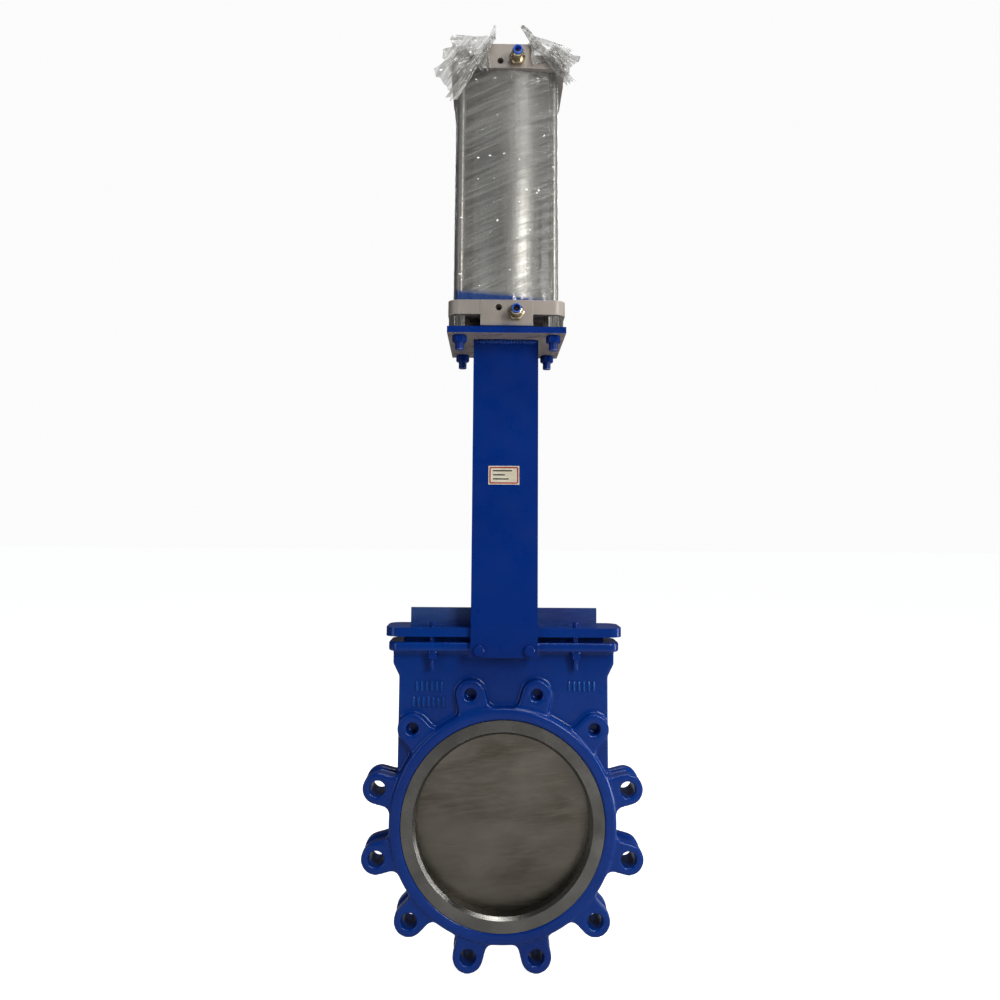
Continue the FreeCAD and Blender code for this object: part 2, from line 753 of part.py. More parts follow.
def end_caps():
    lower = cap_shell("lower_cap_shell", -1, "lower_port_offset")
    pilot = cylinder("pilot", "pilot_dia", "cap_seat - pilot_low", ("0", "0", "pilot_low - cap_seat"))
    bush_at = ("0", "0", "bush_low - cap_seat")
    bush_hole = cylinder("bush_hole", "bush_dia + bush_fit", "bush_hole_length", bush_at)
    rod_way = cylinder("rod_way", "rod_dia + bolt_clearance", "cap_height")
    wiper_at = ("0", "0", "pilot_low - cap_seat")
    wiper_hole = cylinder("wiper_hole", "seal_dia + seal_fit", "bush_low - pilot_low", wiper_at)
    lower_cap = cut("lower_cap_bored", fuse("lower_cap_solid", lower, pilot), bush_hole, rod_way, wiper_hole)
    node("lower_cap", put(lower_cap, ("0", "0", "cap_seat")))
    upper = cap_shell("upper_cap_shell", 1, "upper_port_offset")
    upper_z = "barrel_low + barrel_length + cap_height"
    node("upper_cap", put(upper, ("0", "0", upper_z), "-z"))


def cylinder_tube():
    low = "barrel_low - barrel_groove"
    length = "barrel_length + 2 * barrel_groove"
    outer = "barrel_bore + 2 * barrel_wall"
    node("barrel", tube("barrel_tube", outer, "barrel_bore", length, ("0", "0", low)))
    seal_outer = "barrel_bore - seal_fit / 2"
    seal_inner = "barrel_bore - 2 * o_ring_depth + seal_fit"
    seal_low = {
        "lower": "barrel_low + o_ring_start + seal_fit / 2",
        "upper": "barrel_low + barrel_length - o_ring_start - o_ring_width + seal_fit / 2",
    }
    lip_length = "cushion_seal_length - seal_fit"
    lip_low = {
        "lower": "barrel_low + spigot_height - cushion_seal_length + seal_fit / 2",
        "upper": "barrel_low + barrel_length - spigot_height + seal_fit / 2",
    }
    for end in ENDS:
        seal_at = ("0", "0", seal_low[end])
        o_ring = tube(f"{end}_o_ring", seal_outer, seal_inner, "o_ring_width - seal_fit", seal_at)
        node(f"barrel_seal_{end}", o_ring)
        lip_at = ("0", "0", lip_low[end])
        lip = tube(f"{end}_lip", "cushion_seal_dia", "collar_dia + seal_fit", lip_length, lip_at)
        node(f"cushion_seal_{end}", lip)


def rod_guide():
    bore = "rod_dia + rod_fit"
    node("rod_bush", tube("bush", "bush_dia", bore, "bush_length", ("0", "0", "bush_low")))
    wiper_at = ("0", "0", "pilot_low + seal_fit")
    node("rod_wiper", tube("wiper", "seal_dia", bore, "bush_low - pilot_low - 2 * seal_fit", wiper_at))
    seal_at = ("0", "0", "bush_low + bush_length + seal_fit")
    node("rod_seal", tube("u_cup", "bush_dia", bore, "rod_seal_height", seal_at))


def tie_rods():
    rods = []
    lower = []
    upper = []
    mount = []
    top_face = "barrel_low + barrel_length + cap_slab"
    plate_face = "yoke_high + top_plate_thick"
    between = f"barrel_low - cap_slab - ({plate_face})"
    tapped = "tie_dia + thread_fit"
    for tag, x, y in tie_places():
        length = f"{top_face} + top_nut_height + tie_proud - tie_low"
        rods.append(cylinder("tie_rod_" + tag, "tie_dia", length, (x, y, "tie_low")))
        lower.append(hexagon("low_nut_" + tag, "tie_nut_flats", between, (x, y, plate_face), bore=tapped))
        top_at = (x, y, top_face)
        upper.append(hexagon("top_nut_" + tag, "mount_nut_flats", "top_nut_height", top_at, bore=tapped))
        mount_at = (x, y, "yoke_high - mount_nut_height")
        nut = hexagon("mount_nut_" + tag, "mount_nut_flats", "mount_nut_height", mount_at, bore=tapped)
        mount.append(nut)
    node("tie_rods", group("tie_rod_set", rods))
    node("tie_rod_nuts_lower", group("low_nut_set", lower))
    node("tie_rod_nuts_upper", group("top_nut_set", upper))
    node("mounting_nuts", group("mount_nut_set", mount))


# ---------------------------------------------------------------- air fittings and cushion screws

FACE = "0 - cap_side / 2"
PORT_LEVEL = {
    "lower": "barrel_low - lower_port_offset",
    "upper": "barrel_low + barrel_length + upper_port_offset",
}
NEEDLE_LEVEL = {
    "lower": "barrel_low - needle_offset",
    "upper": "barrel_low + barrel_length + needle_offset",
}


def air_fitting(end):
    """Push-in fitting and its release ring."""
    socket = "tube_dia / 2 + socket_wall"
    grip = "fitting_reach - release_proud"
    at = ("port_side", FACE, PORT_LEVEL[end])
    stem = cylinder(f"{end}_stem", "port_thread", "stem_length", at, "y")
    hexagonal = hexagon(f"{end}_hex", "fitting_hex", "fitting_hex_length", at, "-y")
    sleeve = cylinder(f"{end}_sleeve", "fitting_barrel_dia", grip, at, "-y")
    sleeve_round = round_edges(f"{end}_sleeve_round", sleeve, "fitting_chamfer", is_circle, "Part::Chamfer")
    solid = fuse(f"{end}_fitting_solid", stem, hexagonal, sleeve_round)
    mouth_at = ("port_side", f"{FACE} - ({grip})", PORT_LEVEL[end])
    mouth = cylinder(f"{end}_mouth", f"2 * ({socket} + running_gap)", "socket_depth", mouth_at, "y")
    seat = cylinder(f"{end}_tube_seat", "tube_dia + tube_fit", "tube_seat_depth", mouth_at, "y")
    way = cylinder(f"{end}_air_way", "air_way", "fitting_reach + tube_seat_depth", mouth_at, "y")
    node(f"air_fitting_{end}", cut(f"{end}_fitting", solid, mouth, seat, way))
    hole = "tube_dia / 2 + tube_fit"
    ring_profile = [
        (hole, "0"),
        (socket, "0"),
        (socket, "release_neck"),
        ("release_dia / 2", "release_neck + release_flare"),
        ("release_dia / 2", "release_length - release_round"),
        ("release_dia / 2 - release_round", "release_length"),
        (f"{hole} + release_flare", "release_length"),
        (hole, "release_length - release_round"),
    ]
    ring_at = ("port_side", f"{FACE} - ({grip}) + release_seat", PORT_LEVEL[end])
    node(f"release_ring_{end}", turned(f"{end}_release", ring_profile, ring_at, "-y"))


def cushion_screw(end):
    """Slotted needle screw at the bottom of its well."""
    x = "0 - needle_side"
    y = f"{FACE} + needle_well"
    z = NEEDLE_LEVEL[end]
    head = cylinder(f"{end}_needle_head", "needle_dia - needle_fit", "needle_head", (x, y, z), "y")
    tip_at = (x, f"{y} + needle_head", z)
    wide = "needle_dia - needle_tip_dia"
    tip = cone(f"{end}_needle_tip", wide, "needle_tip_dia", "needle_tip_length", tip_at, "y")
    slit_low = (f"{x} - needle_dia / 2", y, f"{z} - slit_width / 2")
    slit = block(f"{end}_needle_slit", ("needle_dia", "slit_depth", "slit_width"), slit_low)
    node(f"cushion_screw_{end}", cut(f"{end}_needle", fuse(f"{end}_needle_solid", head, tip), slit))


# ---------------------------------------------------------------- gate, clevis, rod and piston

def gate_and_clevis():
    plate = centred_block("gate_plate", ("gate_width", "gate_thick", "gate_top"), "0")
    foot = cylinder("gate_foot", "gate_width", "gate_thick", ("0", "0 - gate_thick / 2", "0"), "y")
    fork_size = ("clevis_width", "clevis_depth", "clevis_high - clevis_low")
    fork = centred_block("clevis_block", fork_size, "clevis_low")
    fork_round = round_edges("clevis_round", fork, "clevis_corner", runs_along((0, 0, 1)))
    fork_slot_size = ("clevis_width", "gate_thick + 2 * clevis_gap", "clevis_floor - clevis_low")
    fork_slot = centred_block("clevis_slot", fork_slot_size, "clevis_low")
    rod_hole_at = ("0", "0", "clevis_high - clevis_thread_depth")
    rod_hole = cylinder("clevis_thread", "rod_thread + thread_fit", "clevis_thread_depth", rod_hole_at)
    gate_holes = []
    fork_holes = []
    bolts = []
    nuts = []
    for side in SIGNS:
        x = f"{side} * pin_span / 2"
        at = (x, "0 - clevis_depth / 2", "pin_level")
        gate_holes.append(cylinder(f"gate_hole_{side + 1}", "pin_dia + pin_fit", "clevis_depth", at, "y"))
        fork_holes.append(cylinder(f"fork_hole_{side + 1}", "pin_dia + pin_fit", "clevis_depth", at, "y"))
        head = hexagon(f"pin_head_{side + 1}", "pin_flats", "pin_head", at, "-y")
        shank = cylinder(f"pin_shank_{side + 1}", "pin_dia", "clevis_depth + pin_tail", at, "y")
        bolts.append(fuse(f"pin_{side + 1}", head, shank))
        nut_at = (x, "clevis_depth / 2", "pin_level")
        tapped = "pin_dia + thread_fit"
        nuts.append(hexagon(f"pin_nut_{side + 1}", "pin_flats", "pin_nut_height", nut_at, "y", bore=tapped))
    node("gate", cut("gate_drilled", fuse("gate_blank", plate, foot), *gate_holes))
    node("clevis", cut("clevis_machined", fork_round, fork_slot, rod_hole, *fork_holes))
    node("clevis_bolts", group("pin_set", bolts))
    node("clevis_nuts", group("pin_nut_set", nuts))
    nut_at = ("0", "0", "clevis_high")
    tapped = "rod_thread + thread_fit"
    node("lock_nut", hexagon("jam_nut", "lock_nut_flats", "lock_nut_height", nut_at, bore=tapped))


PISTON_TOP = "piston_low + piston_length"
PISTON_HALF = "piston_low + piston_length / 2"


def piston_rod():
    thread_end = "clevis_high + lock_nut_height + rod_thread_run"
    profile = [
        ("0", "clevis_high - rod_entry"),
        ("rod_thread / 2 - rod_chamfer", "clevis_high - rod_entry"),
        ("rod_thread / 2", "clevis_high - rod_entry + rod_chamfer"),
        ("rod_thread / 2", thread_end),
        ("rod_dia / 2", f"{thread_end} + rod_chamfer"),
        ("rod_dia / 2", "piston_low"),
        ("piston_core / 2", "piston_low"),
        ("piston_core / 2", f"{PISTON_TOP} + rod_tail"),
        ("0", f"{PISTON_TOP} + rod_tail"),
    ]
    node("piston_rod", turned("rod", profile))


def piston():
    """Disc with a seal groove near each face and a wear band's groove between."""
    core = "piston_core / 2 + thread_fit / 2"
    edge = "piston_dia / 2"
    deep = f"{edge} - piston_groove"
    shallow = f"{edge} - wear_depth"
    profile = [
        (core, "piston_low"),
        ("piston_hub_dia / 2", "piston_low"),
        (edge, "piston_low + piston_bevel"),
        (edge, "piston_low + piston_land"),
        (deep, "piston_low + piston_land"),
        (deep, "piston_low + piston_land + piston_seal_width"),
        (edge, "piston_low + piston_land + piston_seal_width"),
        (edge, f"{PISTON_HALF} - wear_width / 2"),
        (shallow, f"{PISTON_HALF} - wear_width / 2"),
        (shallow, f"{PISTON_HALF} + wear_width / 2"),
        (edge, f"{PISTON_HALF} + wear_width / 2"),
        (edge, f"{PISTON_TOP} - piston_land - piston_seal_width"),
        (deep, f"{PISTON_TOP} - piston_land - piston_seal_width"),
        (deep, f"{PISTON_TOP} - piston_land"),
        (edge, f"{PISTON_TOP} - piston_land"),
        (edge, f"{PISTON_TOP} - piston_bevel"),
        ("piston_hub_dia / 2", PISTON_TOP),
        (core, PISTON_TOP),
    ]
    node("piston", turned("piston_disc", profile))


def piston_fittings():
    """Seals, wear band, cushion collars and nut."""
    outer = "barrel_bore - 2 * piston_seal_gap"
    inner = "piston_dia - 2 * piston_groove + running_gap"
    width = "piston_seal_width - 2 * running_gap"
    places = {
        "low": "piston_low + piston_land + running_gap",
        "high": f"{PISTON_TOP} - piston_land - piston_seal_width + running_gap",
    }
    seals = []
    for name, low in places.items():
        seals.append(tube(f"piston_seal_{name}", outer, inner, width, ("0", "0", low)))
    node("piston_seals", group("piston_seal_set", seals))
    band_at = ("0", "0", f"{PISTON_HALF} - wear_width / 2 + running_gap")
    band_inner = "piston_dia - 2 * wear_depth + running_gap"
    node("piston_wear_band", tube("wear_band", outer, band_inner, "wear_width - 2 * running_gap", band_at))
    low_at = ("0", "0", "piston_low - running_gap - collar_length")
    low_collar = tube("low_collar", "collar_dia", "rod_dia + rod_fit", "collar_length", low_at)
    node("cushion_collar_lower", low_collar)
    top_at = ("0", "0", PISTON_TOP)
    high_collar = tube("high_collar", "collar_dia", "collar_bore", "top_collar_length", top_at)
    node("cushion_collar_upper", high_collar)
    tapped = "piston_core + thread_fit"
    node("piston_nut", hexagon("rod_nut", "piston_nut_flats", "piston_nut_height", top_at, bore=tapped))


# ---------------------------------------------------------------- packing film

def packing_film():
    low = "barrel_low + film_gap"
    height = "barrel_length - 2 * film_gap"
    outer = centred_block("film_outer_blank", ("film_side", "film_side", height), low)
    inner_side = "film_side - 2 * film_thick"
    inner = centred_block("film_inner_blank", (inner_side, inner_side, height), low)
    outer_round = round_edges("film_outer", outer, "film_corner", runs_along((0, 0, 1)))
    inner_round = round_edges("film_inner", inner, "film_corner - film_thick", runs_along((0, 0, 1)))
    node("stretch_film", cut("film_sleeve", outer_round, inner_round))
    size = ("bunch_width", "bunch_depth", "bunch_height")
    low_y = "0 - cap_side / 2 - bunch_gap - bunch_depth"
    for name, low_x in (("left", "0 - bunch_inner - bunch_width"), ("right", "bunch_inner")):
        bar = block(f"bunch_{name}_bar", size, (low_x, low_y, "bunch_low"))
        bunch = round_edges(f"bunch_{name}", bar, "bunch_round", runs_along((0, 1, 0)))
        node(f"film_bunch_{name}", bunch)


def build():
    valve_body()
    seat_rings()
    gate_guides()
    packing()
    gland()
    yoke()
    end_caps()
    cylinder_tube()
    rod_guide()
    tie_rods()
    for end in ENDS:
        air_fitting(end)
        cushion_screw(end)
    gate_and_clevis()
    piston_rod()
    piston()
    piston_fittings()
    packing_film()


def check_and_export():
    """Stop on any failed object, then write one STEP file per node."""
    DOC.recompute()
    failed = [obj.Name for obj in DOC.Objects if {"Invalid", "Error"} & set(obj.State)]
    if failed:
        raise RuntimeError("failed objects: " + ", ".join(failed))
    os.makedirs("parts", exist_ok=True)
    for obj in NODES:
        if obj.Shape.isNull() or not obj.Shape.isValid() or not obj.Shape.Solids:
            raise RuntimeError("bad shape: " + obj.Label)
        obj.Shape.exportStep(f"parts/{obj.Label}.step")
        box = obj.Shape.BoundBox
        print(f"{obj.Label:24s} solids {len(obj.Shape.Solids)} z {box.ZMin:8.1f} {box.ZMax:8.1f}"
              f" y {box.YMin:7.1f} {box.YMax:7.1f} x {box.XMin:7.1f} {box.XMax:7.1f}")


build()
check_and_export()
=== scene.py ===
import math
import random

import bpy
from mathutils import Matrix, Vector, geometry, noise


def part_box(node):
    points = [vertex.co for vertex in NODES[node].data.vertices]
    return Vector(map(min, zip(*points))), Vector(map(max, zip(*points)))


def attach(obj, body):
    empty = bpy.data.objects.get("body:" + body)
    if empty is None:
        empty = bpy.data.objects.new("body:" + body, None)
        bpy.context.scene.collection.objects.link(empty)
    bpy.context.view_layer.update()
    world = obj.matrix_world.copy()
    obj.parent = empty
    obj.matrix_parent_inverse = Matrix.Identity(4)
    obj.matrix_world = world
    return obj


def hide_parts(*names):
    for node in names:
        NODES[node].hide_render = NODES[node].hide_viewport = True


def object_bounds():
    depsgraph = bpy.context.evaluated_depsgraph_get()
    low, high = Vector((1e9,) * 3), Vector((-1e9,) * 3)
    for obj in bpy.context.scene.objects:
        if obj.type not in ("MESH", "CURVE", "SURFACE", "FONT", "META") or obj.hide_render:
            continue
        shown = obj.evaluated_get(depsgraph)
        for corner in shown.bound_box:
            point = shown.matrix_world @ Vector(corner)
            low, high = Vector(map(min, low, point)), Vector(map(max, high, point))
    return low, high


# Pneumatic knife gate valve. Metres, in the CAD frame: origin at the bore's centre, -Y to the
# inlet and the camera, +Z up.

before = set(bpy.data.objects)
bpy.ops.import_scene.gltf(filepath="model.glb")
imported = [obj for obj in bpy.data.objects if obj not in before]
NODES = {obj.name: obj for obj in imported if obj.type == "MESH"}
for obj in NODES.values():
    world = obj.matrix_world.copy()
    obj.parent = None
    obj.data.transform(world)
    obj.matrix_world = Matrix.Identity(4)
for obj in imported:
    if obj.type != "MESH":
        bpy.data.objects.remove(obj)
CAD_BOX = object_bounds()
SCENE = bpy.context.scene
RAND = random.Random(14)


# ---------------------------------------------------------------- camera, lights and stage

SENSOR_WIDTH_MM = 36.0
LENS_MM = 28.764
LENS_SHIFT_UP = -0.0514
CLIP_NEAR, CLIP_FAR = 0.05, 100.0
CAMERA_PLACE = (-0.02656, -1.55113, 0.53551)
CAMERA_YAW, CAMERA_PITCH, CAMERA_ROLL = -0.011, 0.101, -0.007

FLOOR_HALF = 30.0
FLOOR_DROP = 0.001
FLOOR_GREY = (0.60, 0.60, 0.60)
FLOOR_GLOW = 0.93
WORLD_SEEN = (0.97, 0.97, 0.97)
WORLD_LIGHT = (0.80, 0.83, 0.88)
WORLD_LIGHT_STRENGTH = 0.11
WARM, WHITE, COOL = (1.0, 0.97, 0.93), (1.0, 1.0, 1.0), (0.93, 0.96, 1.0)

# Area lights: name, place, point aimed at, width and height, watts, colour.
LIGHTS = [
    ("key", (1.5, -2.2, 1.5), (0, 0, 0.45), (0.8, 1.4), 68, WARM),
    ("rim_right", (2.0, -0.1, 0.5), (0, 0, 0.4), (0.3, 2.0), 34, WHITE),
    ("fill_left", (-2.2, -1.9, 0.7), (0, 0, 0.4), (0.9, 2.2), 22, COOL),
    ("top", (0.5, -0.7, 3.0), (0, 0, 0.5), (1.2, 1.2), 46, WHITE),
    ("back", (0.3, 2.4, 2.6), (0, 0, 0.5), (1.6, 1.0), 24, WHITE),
]


def make_camera():
    data = bpy.data.cameras.new("camera")
    data.sensor_width = SENSOR_WIDTH_MM
    data.lens = LENS_MM
    data.shift_y = LENS_SHIFT_UP
    data.clip_start = CLIP_NEAR
    data.clip_end = CLIP_FAR
    camera = bpy.data.objects.new("camera", data)
    SCENE.collection.objects.link(camera)
    level = Matrix.Rotation(math.pi / 2, 4, "X")
    yaw = Matrix.Rotation(CAMERA_YAW, 4, "Z")
    pitch = Matrix.Rotation(CAMERA_PITCH, 4, "X")
    roll = Matrix.Rotation(CAMERA_ROLL, 4, "Y")
    camera.matrix_world = Matrix.Translation(CAMERA_PLACE) @ yaw @ pitch @ roll @ level
    SCENE.camera = camera


def area_light(name, place, aim, size, watts, colour):
    data = bpy.data.lights.new(name, "AREA")
    data.shape = "RECTANGLE"
    data.size, data.size_y = size
    data.energy = watts
    data.color = colour
    light = bpy.data.objects.new(name, data)
    SCENE.collection.objects.link(light)
    light.location = place
    light.rotation_euler = (Vector(aim) - Vector(place)).to_track_quat("-Z", "Y").to_euler()


def make_stage():
    """Soft lights and a plain pale floor, which looks bright and adds no light of its own."""
    floor_z = CAD_BOX[0].z - FLOOR_DROP
    mesh = bpy.data.meshes.new("floor")
    signs = ((-1, -1), (1, -1), (1, 1), (-1, 1))
    corners = [(FLOOR_HALF * x, FLOOR_HALF * y, floor_z) for x, y in signs]
    mesh.from_pydata(corners, [], [(0, 1, 2, 3)])
    floor = bpy.data.objects.new("floor", mesh)
    SCENE.collection.objects.link(floor)
    pale = bpy.data.materials.new("floor_pale")
    pale.use_nodes = True
    shader = pale.node_tree.nodes["Principled BSDF"]
    shader.inputs["Base Color"].default_value = (*FLOOR_GREY, 1)
    shader.inputs["Roughness"].default_value = 0.95
    shader.inputs["Specular IOR Level"].default_value = 0.1
    shader.inputs["Emission Color"].default_value = (1, 1, 1, 1)
    path = pale.node_tree.nodes.new("ShaderNodeLightPath")
    glow = pale.node_tree.nodes.new("ShaderNodeMath")
    glow.operation = "MULTIPLY"
    glow.inputs[1].default_value = FLOOR_GLOW
    pale.node_tree.links.new(path.outputs["Is Camera Ray"], glow.inputs[0])
    pale.node_tree.links.new(glow.outputs[0], shader.inputs["Emission Strength"])
    mesh.materials.append(pale)
    for values in LIGHTS:
        area_light(*values)


def make_world():
    """Even pale surroundings: bright to look at, dimmer as a light."""
    world = bpy.data.worlds.new("studio")
    SCENE.world = world
    world.use_nodes = True
    tree = world.node_tree
    tree.nodes.clear()
    path = tree.nodes.new("ShaderNodeLightPath")
    seen = tree.nodes.new("ShaderNodeBackground")
    seen.inputs["Color"].default_value = (*WORLD_SEEN, 1)
    lit = tree.nodes.new("ShaderNodeBackground")
    lit.inputs["Color"].default_value = (*WORLD_LIGHT, 1)
    lit.inputs["Strength"].default_value = WORLD_LIGHT_STRENGTH
    mix = tree.nodes.new("ShaderNodeMixShader")
    out = tree.nodes.new("ShaderNodeOutputWorld")
    tree.links.new(path.outputs["Is Camera Ray"], mix.inputs[0])
    tree.links.new(lit.outputs[0], mix.inputs[1])
    tree.links.new(seen.outputs[0], mix.inputs[2])
    tree.links.new(mix.outputs[0], out.inputs["Surface"])
    SCENE.view_settings.view_transform = "Standard"


# ---------------------------------------------------------------- material nodes

class Look:
    """A procedural material under construction."""

    def __init__(self, name, **values):
        self.material = bpy.data.materials.new(name)
        self.material.use_nodes = True
        self.tree = self.material.node_tree
        self.shader = self.tree.nodes["Principled BSDF"]
        self.place = self.node("ShaderNodeTexCoord").outputs["Object"]
        self.normal = None
        for socket, value in values.items():
            self.shader.inputs[socket.replace("_", " ")].default_value = value

    def node(self, kind, **values):
        made = self.tree.nodes.new(kind)
        for key, value in values.items():
            setattr(made, key, value)
        return made

    def link(self, source, target):
        self.tree.links.new(source, target)

    def scaled(self, scale, turn):
        """Object coordinates turned and then stretched by a scale per axis."""
        turning = self.node("ShaderNodeMapping")
        turning.inputs["Rotation"].default_value = turn
        self.link(self.place, turning.inputs["Vector"])
        scaling = self.node("ShaderNodeMapping")
        scaling.inputs["Scale"].default_value = scale
        self.link(turning.outputs["Vector"], scaling.inputs["Vector"])
        return scaling.outputs["Vector"]

    def noise(self, scale, detail=3.0, stretch=(1, 1, 1), turn=(0, 0, 0), distortion=0.0):
        made = self.node("ShaderNodeTexNoise")
        made.inputs["Scale"].default_value = scale
        made.inputs["Detail"].default_value = detail
        made.inputs["Distortion"].default_value = distortion
        self.link(self.scaled(stretch, turn), made.inputs["Vector"])
        return made.outputs["Fac"]

    def ramp(self, source, low, high, start=0.0, end=1.0):
        """Map start..end of a value to low..high, clamped."""
        made = self.node("ShaderNodeMapRange")
        made.inputs["From Min"].default_value = start
        made.inputs["From Max"].default_value = end
        made.inputs["To Min"].default_value = low
        made.inputs["To Max"].default_value = high
        self.link(source, made.inputs["Value"])
        return made.outputs["Result"]

    def maths(self, operation, first, second):
        made = self.node("ShaderNodeMath", operation=operation)
        for socket, value in zip(made.inputs, (first, second)):
            if isinstance(value, (int, float)):
                socket.default_value = value
            else:
                self.link(value, socket)
        return made.outputs[0]

    def axis(self, name):
        made = self.node("ShaderNodeSeparateXYZ")
        self.link(self.place, made.inputs[0])
        return made.outputs[name]

    def blend(self, factor, first, second):
        """Mix two colours, each a tuple or a socket."""
        made = self.node("ShaderNodeMix", data_type="RGBA")
        self.link(factor, made.inputs["Factor"])
        for socket, value in ((made.inputs[6], first), (made.inputs[7], second)):
            if isinstance(value, tuple):
                socket.default_value = (*value, 1)
            else:
                self.link(value, socket)
        return made.outputs[2]

    def colour(self, source):
        self.link(source, self.shader.inputs["Base Color"])

    def into(self, socket, source):
        self.link(source, self.shader.inputs[socket])

    def bump(self, height, strength, distance):
        made = self.node("ShaderNodeBump")
        made.inputs["Strength"].default_value = strength
        made.inputs["Distance"].default_value = distance
        self.link(height, made.inputs["Height"])
        if self.normal:
            self.link(self.normal, made.inputs["Normal"])
        self.normal = made.outputs["Normal"]
        self.link(self.normal, self.shader.inputs["Normal"])

    def edges(self, width):
        """Mask of worn outer edges, from the surface's own curvature."""
        bevel = self.node("ShaderNodeBevel", samples=4)
        bevel.inputs["Radius"].default_value = width
        plain = self.node("ShaderNodeNewGeometry")
        dot = self.node("ShaderNodeVectorMath", operation="DOT_PRODUCT")
        self.link(bevel.outputs[0], dot.inputs[0])
        self.link(plain.outputs["Normal"], dot.inputs[1])
        return self.ramp(dot.outputs["Value"], 1.0, 0.0, 0.75, 0.97)


BLUE = (0.0004, 0.0185, 0.150)
BLUE_DEEP = (0.0003, 0.0140, 0.118)
BLUE_LIGHT = (0.001, 0.040, 0.210)
CAST_BLUE = (0.0003, 0.0250, 0.170)
# The raised cast marks are painted a lighter blue than the casting's own enamel, as a painted
# highlight on them.
LIT_MARK_BLUE = (0.0015, 0.0550, 0.270)
UNPAINTED = (0.215, 0.182, 0.165)


def blue_enamel(name, grain, peel, colour=BLUE, bare_below=None):
    """Glossy enamel. Grain is the casting's roughness below it, peel the waviness of the coat.
    Faces lower than bare_below are unpainted."""
    look = Look(name, Roughness=0.3, Coat_Weight=0.22, Coat_Roughness=0.08, Specular_IOR_Level=0.08)
    broad = look.noise(5.0, detail=4.0)
    tone = look.blend(look.ramp(broad, 0, 1, start=0.3, end=0.7), BLUE_DEEP, colour)
    edge = look.edges(0.0012)
    flecks = look.ramp(look.noise(120.0, detail=4.0), 0, 1, start=0.45, end=0.62)
    worn = look.maths("MULTIPLY", edge, flecks)
    tone = look.blend(look.maths("MULTIPLY", worn, 0.55), tone, BLUE_LIGHT)
    speck = look.ramp(look.noise(420.0, detail=2.0), 0, 0.5, start=0.72, end=0.80)
    tone = look.blend(speck, tone, BLUE_LIGHT)
    if bare_below:
        bare = look.ramp(look.axis("Z"), 1.0, 0.0, start=bare_below, end=bare_below + 0.0003)
        tone = look.blend(bare, tone, UNPAINTED)
    look.colour(tone)
    look.into("Roughness", look.ramp(look.noise(22.0, detail=4.0), 0.22, 0.42, start=0.3, end=0.7))
    look.bump(look.noise(70.0, detail=3.0), strength=peel, distance=0.0012)
    if grain:
        look.bump(look.noise(520.0, detail=4.0), strength=grain, distance=0.0007)
    return look.material


def turned_steel(name, colour, rough):
    """Facing marks run round the bore's axis."""
    look = Look(name, Metallic=1.0)
    flat = look.node("ShaderNodeCombineXYZ")
    split = look.node("ShaderNodeSeparateXYZ")
    look.link(look.place, split.inputs[0])
    look.link(split.outputs["X"], flat.inputs["X"])
    look.link(split.outputs["Z"], flat.inputs["Z"])
    length = look.node("ShaderNodeVectorMath", operation="LENGTH")
    look.link(flat.outputs[0], length.inputs[0])
    rings = look.node("ShaderNodeTexNoise", noise_dimensions="1D")
    rings.inputs["Scale"].default_value = 2600.0
    rings.inputs["Detail"].default_value = 2.0
    look.link(length.outputs["Value"], rings.inputs["W"])
    stain = look.noise(16.0, detail=5.0)
    dark = tuple(part * 0.62 for part in colour)
    look.colour(look.blend(look.ramp(stain, 0, 1, start=0.35, end=0.7), colour, dark))
    look.into("Roughness", look.ramp(stain, rough - 0.06, rough + 0.12, start=0.3, end=0.7))
    look.bump(rings.outputs["Fac"], strength=0.35, distance=0.00025)
    return look.material


def gate_steel():
    """Ground stainless with crossing swirls below the gland, blue overspray above it, and painted
    shade that darkens the steel towards the bottom.
    """
    look = Look("gate_ground_steel")
    dull, bright, polished = (0.095, 0.084, 0.066), (0.205, 0.190, 0.165), (0.24, 0.215, 0.175)
    shaded, overspray = (0.062, 0.056, 0.046), (0.010, 0.042, 0.15)
    shade_low, shade_high, paint_low, paint_high = -0.16, 0.14, 0.330, 0.338
    fine = look.noise(300.0, detail=3.0, stretch=(0.12, 1, 1.6), turn=(0, 0.05, 0), distortion=0.6)
    swirl = look.noise(60.0, detail=4.0, stretch=(0.22, 1, 1.7), turn=(0, 0.10, 0), distortion=1.4)
    cloud = look.noise(9.0, detail=5.0, stretch=(0.6, 1, 1.3), distortion=0.4)
    steel = look.blend(look.ramp(cloud, 0, 1, start=0.33, end=0.68), dull, bright)
    steel = look.blend(look.ramp(swirl, 0, 0.5, start=0.45, end=0.75), steel, polished)
    # Painted shade: the steel is blended towards the shaded colour lower down the gate.
    low = look.ramp(look.axis("Z"), 0.55, 0.0, start=shade_low, end=shade_high)
    steel = look.blend(low, steel, shaded)
    ragged = look.maths("ADD", look.axis("Z"), look.ramp(cloud, -0.01, 0.01))
    painted = look.ramp(ragged, 0, 1, start=paint_low, end=paint_high)
    paint = look.blend(look.ramp(cloud, 0, 1, start=0.35, end=0.65), BLUE_DEEP, overspray)
    look.colour(look.blend(painted, steel, paint))
    look.into("Metallic", look.ramp(painted, 1.0, 0.0))
    look.into("Roughness", look.ramp(swirl, 0.30, 0.46, start=0.35, end=0.7))
    look.bump(fine, strength=0.28, distance=0.0003)
    look.bump(swirl, strength=0.16, distance=0.0008)
    return look.material


